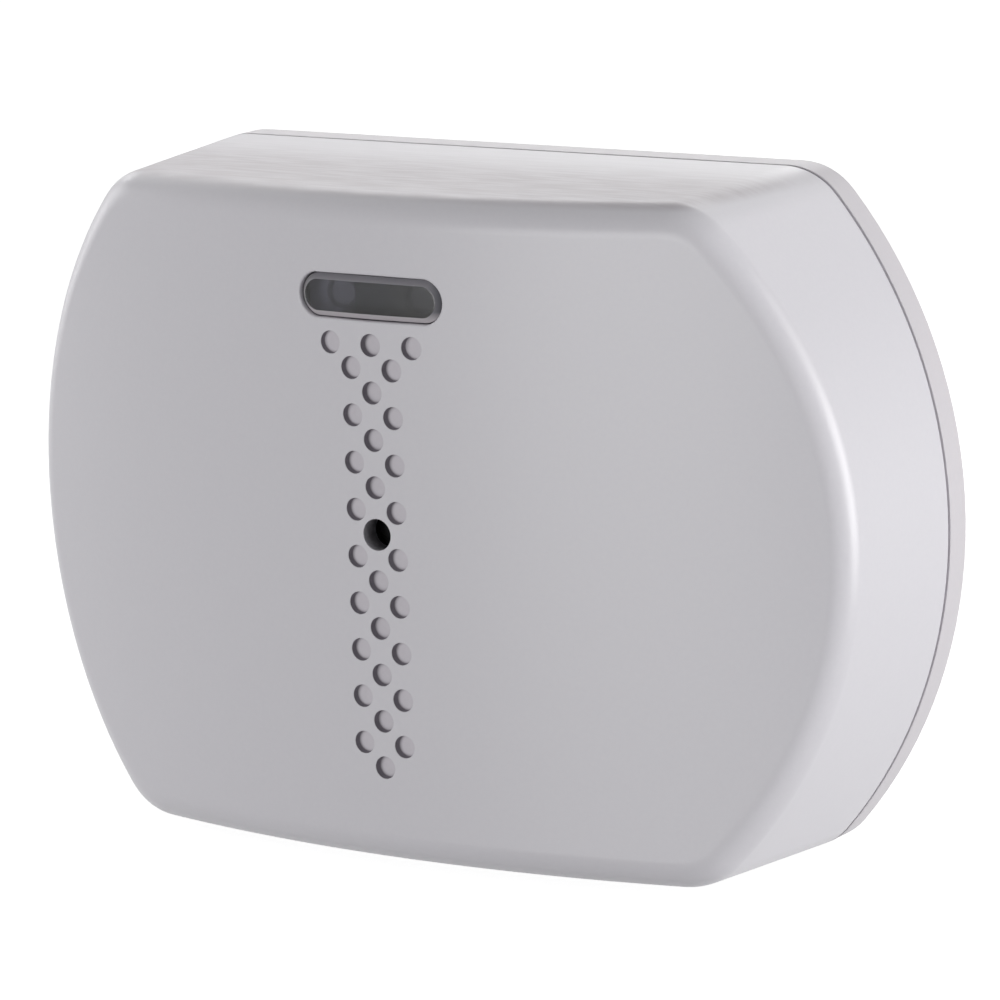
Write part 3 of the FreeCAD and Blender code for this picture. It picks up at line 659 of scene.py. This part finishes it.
ring = frame_ring(cover_bm, 0, window_z, *window_frame_outer)
ring += frame_ring(cover_bm, 0, window_z, *window_frame_inner)
frame_end = crown_away(window_frame_outer[0] / 2, cover_wall) + root_depth
raised(cover_bm, ring, window_frame_start, frame_end)

bmesh.ops.recalc_face_normals(cover_bm, faces=cover_bm.faces)
sharp_angle = math.radians(40)
for face in cover_bm.faces:
    face.smooth = True
for edge in cover_bm.edges:
    edge.smooth = not edge.is_manifold or edge.calc_face_angle() < sharp_angle
facings = [tuple(vert[facing_layer]) for vert in cover_bm.verts]
cover_mesh = bpy.data.meshes.new("cover_shell")
cover_bm.to_mesh(cover_mesh)
cover_bm.free()
cover_mesh.normals_split_custom_set_from_vertices(facings)
cover = bpy.data.objects.new("cover_shell", cover_mesh)
bpy.context.scene.collection.objects.link(cover)
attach(cover, "housing")
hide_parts("front_cover")

# Moulded white ABS: a satin skin with the fine even grain of a spark-eroded mould, drawn at 0.5 mm so
# that it shows. The flat top is duller, and painted shade makes it a little darker towards the front, in
# faint streaks along it.
mix_a, mix_b, mix_result = 6, 7, 2


def grained(material, shader, grain, shades, roughness, height, stretch=(1, 1, 1)):
    """Lets noise of one grain size, in mm, vary the shade and the roughness and lift the surface."""
    place = add_node(material, "ShaderNodeTexCoord")
    drawn = add_node(
        material, "ShaderNodeMapping",
        inputs={"Scale": stretch}, links={"Vector": place.outputs["Object"]},
    )
    noise = add_node(
        material, "ShaderNodeTexNoise",
        inputs={"Scale": 1 / (grain * mm), "Detail": 3}, links={"Vector": drawn.outputs["Vector"]},
    )
    shade = add_node(
        material, "ShaderNodeMix", data_type="RGBA",
        inputs={mix_a: colour(shades[0]), mix_b: colour(shades[1])}, links={"Factor": noise.outputs["Fac"]},
    )
    rough = add_node(
        material, "ShaderNodeMapRange",
        inputs={"To Min": roughness[0], "To Max": roughness[1]}, links={"Value": noise.outputs["Fac"]},
    )
    bump = add_node(
        material, "ShaderNodeBump",
        inputs={"Distance": height * mm}, links={"Height": noise.outputs["Fac"]},
    )
    links = material.node_tree.links
    links.new(shade.outputs[mix_result], shader.inputs["Base Color"])
    links.new(rough.outputs["Result"], shader.inputs["Roughness"])
    links.new(bump.outputs["Normal"], shader.inputs["Normal"])
    return place, shade, rough


cover_plastic, cover_shader = new_material("moulded_white_abs")
cover_shader.inputs["IOR"].default_value = 1.53
place, shade, rough = grained(
    cover_plastic, cover_shader, 0.5, ("#DDDBE1", "#E1DFE4"), (0.3, 0.38), 0.002
)
# Painted shade on the flat top: darker towards the front, in faint streaks, with the roughness rising where
# it lies
painted_shade_low = 36.2
painted_shade_full = 37.2
painted_shade_rear = 4.0
painted_shade_front = 20.0
painted_streak_width = 0.8
painted_shade_rear_share = 0.2
painted_streak_faint_share = 0.75
painted_streak_noise = (0.38, 0.62)
top_roughness_rise = 0.15
spot = add_node(cover_plastic, "ShaderNodeSeparateXYZ", links={"Vector": place.outputs["Object"]})
on_top = add_node(
    cover_plastic, "ShaderNodeMapRange", interpolation_type="SMOOTHSTEP",
    inputs={"From Min": painted_shade_low * mm, "From Max": painted_shade_full * mm}, links={"Value": spot.outputs["Z"]},
)
clear_of_rear = add_node(
    cover_plastic, "ShaderNodeMapRange", interpolation_type="SMOOTHSTEP",
    inputs={"From Min": -painted_shade_rear * mm, "From Max": -painted_shade_front * mm, "To Min": painted_shade_rear_share},
    links={"Value": spot.outputs["Y"]},
)
painted_top_shade_mask = add_node(
    cover_plastic, "ShaderNodeMath", operation="MULTIPLY",
    links={0: on_top.outputs["Result"], 1: clear_of_rear.outputs["Result"]},
)
along = add_node(
    cover_plastic, "ShaderNodeMapping",
    inputs={"Scale": (0.12, 1, 0.3)}, links={"Vector": place.outputs["Object"]},
)
painted_streaks = add_node(
    cover_plastic, "ShaderNodeTexNoise",
    inputs={"Scale": 1 / (painted_streak_width * mm), "Detail": 3}, links={"Vector": along.outputs["Vector"]},
)
painted_streak_share = add_node(
    cover_plastic, "ShaderNodeMapRange",
    inputs={"From Min": painted_streak_noise[0], "From Max": painted_streak_noise[1], "To Min": painted_streak_faint_share},
    links={"Value": painted_streaks.outputs["Fac"]},
)
painted_top_shade_amount = add_node(
    cover_plastic, "ShaderNodeMath", operation="MULTIPLY",
    links={0: painted_top_shade_mask.outputs["Value"], 1: painted_streak_share.outputs["Result"]},
)
painted_top_shade = add_node(
    cover_plastic, "ShaderNodeMix", data_type="RGBA",
    inputs={mix_b: colour("#BBB5BA")},
    links={"Factor": painted_top_shade_amount.outputs["Value"], mix_a: shade.outputs[mix_result]},
)
duller_top_roughness = add_node(
    cover_plastic, "ShaderNodeMath", operation="MULTIPLY_ADD",
    inputs={1: top_roughness_rise}, links={0: painted_top_shade_amount.outputs["Value"], 2: rough.outputs["Result"]},
)
cover_plastic.node_tree.links.new(painted_top_shade.outputs[mix_result], cover_shader.inputs["Base Color"])
cover_plastic.node_tree.links.new(duller_top_roughness.outputs["Value"], cover_shader.inputs["Roughness"])
cover_mesh.materials.append(cover_plastic)


def toned(material, shade, source, start, end, tone, course="LINEAR"):
    """Lets the shade turn to another tone between two places, in mm, along one axis."""
    share = add_node(
        material, "ShaderNodeMapRange", interpolation_type=course,
        inputs={"From Min": start * mm, "From Max": end * mm}, links={"Value": source},
    )
    return add_node(
        material, "ShaderNodeMix", data_type="RGBA", inputs={mix_b: colour(tone)},
        links={"Factor": share.outputs["Result"], mix_a: shade.outputs[mix_result]},
    )


# The dimples are duller than the front, and painted shade makes them darker, most of all at their
# walls
pit_floor = dimple_depth - depth
pit_plastic_painted_shade, pit_shader = new_material("moulded_white_abs_pits_painted_shade")
pit_shader.inputs["IOR"].default_value = 1.53
place, shade, _ = grained(
    pit_plastic_painted_shade, pit_shader, 0.5, ("#D6D2D8", "#DEDAE0"), (0.5, 0.6), 0.004
)
spot = add_node(pit_plastic_painted_shade, "ShaderNodeSeparateXYZ", links={"Vector": place.outputs["Object"]})
# Painted shade: the pit walls turn much darker than the floors
shade = toned(
    pit_plastic_painted_shade, shade, spot.outputs["Y"], pit_floor + 0.02, pit_floor - 0.15, "#847F87", "SMOOTHSTEP"
)
pit_plastic_painted_shade.node_tree.links.new(shade.outputs[mix_result], pit_shader.inputs["Base Color"])
cover_mesh.materials.append(pit_plastic_painted_shade)


# Base plate. A flat white ABS moulding with the cover's outline, a lip that locates the cover and
# slots and holes for the wall screws. The cover hooks on at its top edge.
def merged_copy(node):
    """Mesh of a solid with its loose triangles joined and its flat faces whole."""
    bm = bmesh.new()
    bm.from_mesh(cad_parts[node].data)
    bmesh.ops.remove_doubles(bm, verts=bm.verts, dist=merge_distance)
    bmesh.ops.dissolve_limit(bm, angle_limit=flat_angle, verts=bm.verts, edges=bm.edges)
    return bm


def finished(bm, name, node, body, material, edge):
    """Makes the replacement piece of a solid, with smooth curves and softened edges."""
    for face in bm.faces:
        face.smooth = True
    for item in bm.edges:
        item.smooth = not item.is_manifold or item.calc_face_angle() < sharp_angle
    mesh = bpy.data.meshes.new(name)
    bm.to_mesh(mesh)
    bm.free()
    piece = bpy.data.objects.new(name, mesh)
    bpy.context.scene.collection.objects.link(piece)
    if edge:
        soften = piece.modifiers.new("softened_edges", "BEVEL")
        soften.width = edge * mm
        soften.segments = 2
        soften.limit_method = "ANGLE"
        soften.angle_limit = sharp_angle
        soften.harden_normals = True
    mesh.materials.append(material)
    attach(piece, body)
    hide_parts(node)
    return piece


merge_distance = 0.002 * mm
flat_angle = math.radians(0.3)
plate_edge = 0.18
screw_edge = 0.06
lamp_edge = 0.08
block_edge = 0.1

# The plate's plastic is a shade darker than the cover's: painted shade on its rim
plate_plastic, plate_shader = new_material("moulded_white_abs_plate")
plate_shader.inputs["IOR"].default_value = 1.53
grained(plate_plastic, plate_shader, 0.5, ("#D3CFD4", "#D8D4D8"), (0.4, 0.5), 0.003)
plate_bm = merged_copy("base_plate")
finished(plate_bm, "rear_plate", "base_plate", "housing", plate_plastic, plate_edge)


# Cover screw. Zinc plated steel with a countersunk slotted head, driven up through the cover's bottom
# wall. Zinc has a faint blue grey shine and a fine mottle.
screw_zinc, screw_shader = new_material("zinc_plated_steel")
screw_shader.inputs["Metallic"].default_value = 1.0
grained(screw_zinc, screw_shader, 0.4, ("#B4B6BA", "#C6C8CC"), (0.28, 0.42), 0.002)
screw_bm = merged_copy("cover_screw")
finished(screw_bm, "cover_screw_steel", "cover_screw", "housing", screw_zinc, screw_edge)


# Window. A smoked clear acrylic moulding with full round ends and a broad frosted bevel, on which painted
# light makes the left end and the bottom lighter and the right end darker. Its flange lies behind the front
# wall, and the two lamps and their dark block show through it.
window_gap = 0.15
lens_bevel = 0.6
lens_rear = 29.7
lens_flange = (21.0, 7.8)
flange_cuts = 11
lens_segments = 48
lens_rounding = 0.06
lens_rounding_run = 0.08
lens_face_run = 0.15

lens_bm = bmesh.new()
flange = frame_ring(lens_bm, 0, window_z, *lens_flange)
bmesh.ops.subdivide_edges(lens_bm, edges=flange, cuts=flange_cuts)
flange = list(lens_bm.edges)
for vert in lens_bm.verts:
    vert.co.y = -lens_rear * mm
bmesh.ops.edgeloop_fill(lens_bm, edges=flange)
verts, flange = next_ring(lens_bm, flange)
for vert in verts:
    vert.co.y = -crown_away(vert.co.x / mm, cover_wall) * mm
verts, edges = oval_ring(
    lens_bm, 0, window_z, window_radius - window_gap, window_stretch, lens_segments
)
for vert in verts:
    vert.co.y = -crown_away(vert.co.x / mm, cover_wall) * mm
bmesh.ops.bridge_loops(lens_bm, edges=flange + edges)
lens_rings = (
    (lens_bevel, 0.0, 1),
    (lens_rounding, lens_bevel - lens_rounding, 1),
    (0.0, lens_rounding_run, 1),
    (0.0, lens_face_run, 0),
)
for sink, inward, finish in lens_rings:
    verts, edges = next_ring(lens_bm, edges)
    pull_in(verts, 0, window_z, inward, window_stretch)
    for face in {face for edge in edges for face in edge.link_faces}:
        face.material_index = finish
    for vert in verts:
        vert.co.y = -crown_away(vert.co.x / mm, sink) * mm
fill_between(lens_bm, edges, (0, -1, 0))
bmesh.ops.recalc_face_normals(lens_bm, faces=lens_bm.faces)

smoked_acrylic, lens_shader = new_material("smoked_clear_acrylic")
lens_shader.inputs["Transmission Weight"].default_value = 1.0
lens_shader.inputs["IOR"].default_value = 1.49
grained(smoked_acrylic, lens_shader, 3.0, ("#9C9DA6", "#A4A5AE"), (0.22, 0.26), 0.0004)
frosted_edge_painted_light, edge_shader = new_material("frosted_acrylic_edge_painted_light")
edge_shader.inputs["IOR"].default_value = 1.49
place, shade, _ = grained(
    frosted_edge_painted_light, edge_shader, 0.5, ("#86848A", "#8E8C92"), (0.35, 0.5), 0.001
)
spot = add_node(frosted_edge_painted_light, "ShaderNodeSeparateXYZ", links={"Vector": place.outputs["Object"]})
# Painted light on the bevel: lighter at the left end, much lighter at the bottom, darker at the right end
for axis, start, end, tone in (
    ("X", -7.0, -8.6, "#9E9C9F"),
    ("X", 7.4, 8.8, "#5C5C62"),
    ("Z", 24.9, 24.0, "#CCC7CB"),
):
    shade = toned(frosted_edge_painted_light, shade, spot.outputs[axis], start, end, tone)
frosted_edge_painted_light.node_tree.links.new(shade.outputs[mix_result], edge_shader.inputs["Base Color"])
lens = finished(
    lens_bm, "window_smoked", "window_lens", "housing", smoked_acrylic, 0
)
lens.data.materials.append(frosted_edge_painted_light)


# Indicator lamps. Flat-topped lamps of cast epoxy, one water clear and one tinted, with two tinned
# leads each. A soft cloudiness shows where the resin surrounds the chip.
for node, name, slot, shades in (
    ("alarm_led", "clear_lamp", "lamp_clear", ("#A9A6AB", "#B3B0B5")),
    ("status_led", "tinted_lamp", "lamp_amber", ("#48443A", "#524E42")),
):
    epoxy, epoxy_shader = new_material("cast_epoxy_" + name)
    epoxy_shader.inputs["IOR"].default_value = 1.54
    grained(epoxy, epoxy_shader, 1.2, shades, (0.35, 0.45), 0.002)
    finished(merged_copy(node), name, node, "housing", epoxy, lamp_edge)


# Lamp block. A black nylon moulding with a well round each lamp that keeps their light apart. Painted light
# makes it pale towards its left end and olive towards its right one.
lamp_block_painted_light, block_shader = new_material("moulded_black_nylon_painted_light")
block_shader.inputs["IOR"].default_value = 1.53
block_shader.inputs["Specular IOR Level"].default_value = 0.2
place, shade, _ = grained(
    lamp_block_painted_light, block_shader, 0.6, ("#0E1014", "#14161A"), (0.4, 0.55), 0.004
)
spot = add_node(lamp_block_painted_light, "ShaderNodeSeparateXYZ", links={"Vector": place.outputs["Object"]})
# Painted light: pale at the left end and olive at the right end
for start, end, tone in ((-3.0, -5.4, "#CFCCD0"), (0.5, 3.4, "#4E4A3C")):
    shade = toned(lamp_block_painted_light, shade, spot.outputs["X"], start, end, tone)
lamp_block_painted_light.node_tree.links.new(shade.outputs[mix_result], block_shader.inputs["Base Color"])
block_bm = merged_copy("led_shroud")
finished(block_bm, "lamp_well_block", "led_shroud", "housing", lamp_block_painted_light, block_edge)


def dress(node, material):
    """Gives a solid that shows as it is its material."""
    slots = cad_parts[node].data.materials
    slots.clear()
    slots.append(material)


# Microphone. An electret capsule in a drawn aluminium can, a disc of pressed felt on its face that
# keeps dust out, and a soft black rubber boot that seals it to the cover.
capsule_can, can_shader = new_material("drawn_aluminium_can")
can_shader.inputs["Metallic"].default_value = 1.0
grained(capsule_can, can_shader, 0.3, ("#BEBFC2", "#D0D1D4"), (0.25, 0.4), 0.001, (1, 0.1, 1))
dress("microphone_capsule", capsule_can)

pressed_felt, felt_shader = new_material("pressed_black_felt")
felt_shader.inputs["Sheen Weight"].default_value = 0.6
grained(pressed_felt, felt_shader, 0.12, ("#121214", "#2C2C30"), (0.85, 1.0), 0.06)
dress("microphone_felt", pressed_felt)

boot_rubber, rubber_shader = new_material("moulded_black_rubber")
grained(boot_rubber, rubber_shader, 0.5, ("#161617", "#202022"), (0.6, 0.75), 0.01)
dress("microphone_boot", boot_rubber)


# Circuit board. Glass fibre laminate under green solder mask, with the faint weave of the glass
# showing through. Two plated screws and two clips of the cover hold it.
solder_mask, mask_shader = new_material("green_solder_mask")
mask_shader.inputs["Coat Weight"].default_value = 0.4
grained(solder_mask, mask_shader, 0.5, ("#0E3F22", "#14502C"), (0.22, 0.34), 0.004)
dress("circuit_board", solder_mask)
dress("board_screws", screw_zinc)


# Cell, holder and contacts. A lithium cell in a plain blue shrink sleeve snaps into a black nylon
# holder between two nickel plated spring contacts.
cell_sleeve, sleeve_shader = new_material("blue_shrink_sleeve")
sleeve_shader.inputs["IOR"].default_value = 1.54
grained(cell_sleeve, sleeve_shader, 2.0, ("#33477A", "#3B5088"), (0.2, 0.3), 0.01)
dress("battery_cell", cell_sleeve)

holder_nylon, holder_shader = new_material("moulded_black_holder")
grained(holder_nylon, holder_shader, 0.5, ("#242427", "#2C2C30"), (0.45, 0.6), 0.006)
dress("battery_holder", holder_nylon)

spring_nickel, nickel_shader = new_material("nickel_plated_spring")
nickel_shader.inputs["Metallic"].default_value = 1.0
grained(spring_nickel, nickel_shader, 0.4, ("#C9C5BA", "#D8D4C8"), (0.2, 0.34), 0.001, (1, 1, 0.1))
dress("positive_contact", spring_nickel)
dress("negative_contact", spring_nickel)


# Tamper switch and plunger. A black thermoset switch with a red plunger that a post of the base
# plate keeps pressed.
switch_case, switch_shader = new_material("moulded_black_thermoset")
grained(switch_case, switch_shader, 0.4, ("#1C1C1D", "#262627"), (0.5, 0.62), 0.004)
dress("tamper_switch", switch_case)
plunger_red, plunger_shader = new_material("moulded_red_plastic")
grained(plunger_red, plunger_shader, 0.4, ("#A82C22", "#B4352A"), (0.3, 0.4), 0.002)
dress("tamper_plunger", plunger_red)


# Enrol switch and button. A small push switch on the rear of the board with a grey round button.
dress("enrol_switch", switch_case)
button_grey, button_shader = new_material("moulded_grey_plastic")
grained(button_grey, button_shader, 0.4, ("#8E8E90", "#979799"), (0.35, 0.45), 0.002)
dress("enrol_button", button_grey)


# Radio. A small board of its own under a tinned sheet shield, with a white insulated wire along the
# housing's edge as its aerial.
dress("radio_board", solder_mask)
tinned_sheet, tin_shader = new_material("tinned_sheet")
tin_shader.inputs["Metallic"].default_value = 1.0
grained(tinned_sheet, tin_shader, 0.8, ("#C6C6C4", "#D6D6D4"), (0.3, 0.45), 0.002)
dress("radio_shield", tinned_sheet)
wire_sleeve, wire_shader = new_material("white_wire_insulation")
grained(wire_sleeve, wire_shader, 1.0, ("#D2D2CE", "#DCDCD8"), (0.35, 0.45), 0.003)
dress("antenna_wire", wire_sleeve)


# Circuit parts. Moulded chips, a crystal in a drawn can, two aluminium capacitors with printed
# sleeves, and the pin strip whose blue link sets the sensitivity.
chip_compound, chip_shader = new_material("black_moulding_compound")
grained(chip_compound, chip_shader, 0.15, ("#1A1A1C", "#28282A"), (0.55, 0.7), 0.006)
for node in ("microcontroller", "signal_amplifier", "voltage_regulator"):
    dress(node, chip_compound)
dress("clock_crystal", capsule_can)
for node in ("reservoir_capacitor", "filter_capacitor"):
    dress(node, capsule_can)
dress("jumper_header", holder_nylon)
link_blue, link_shader = new_material("moulded_blue_plastic")
grained(link_blue, link_shader, 0.4, ("#3A66AE", "#426FB8"), (0.35, 0.45), 0.003)
dress("jumper_link", link_blue)
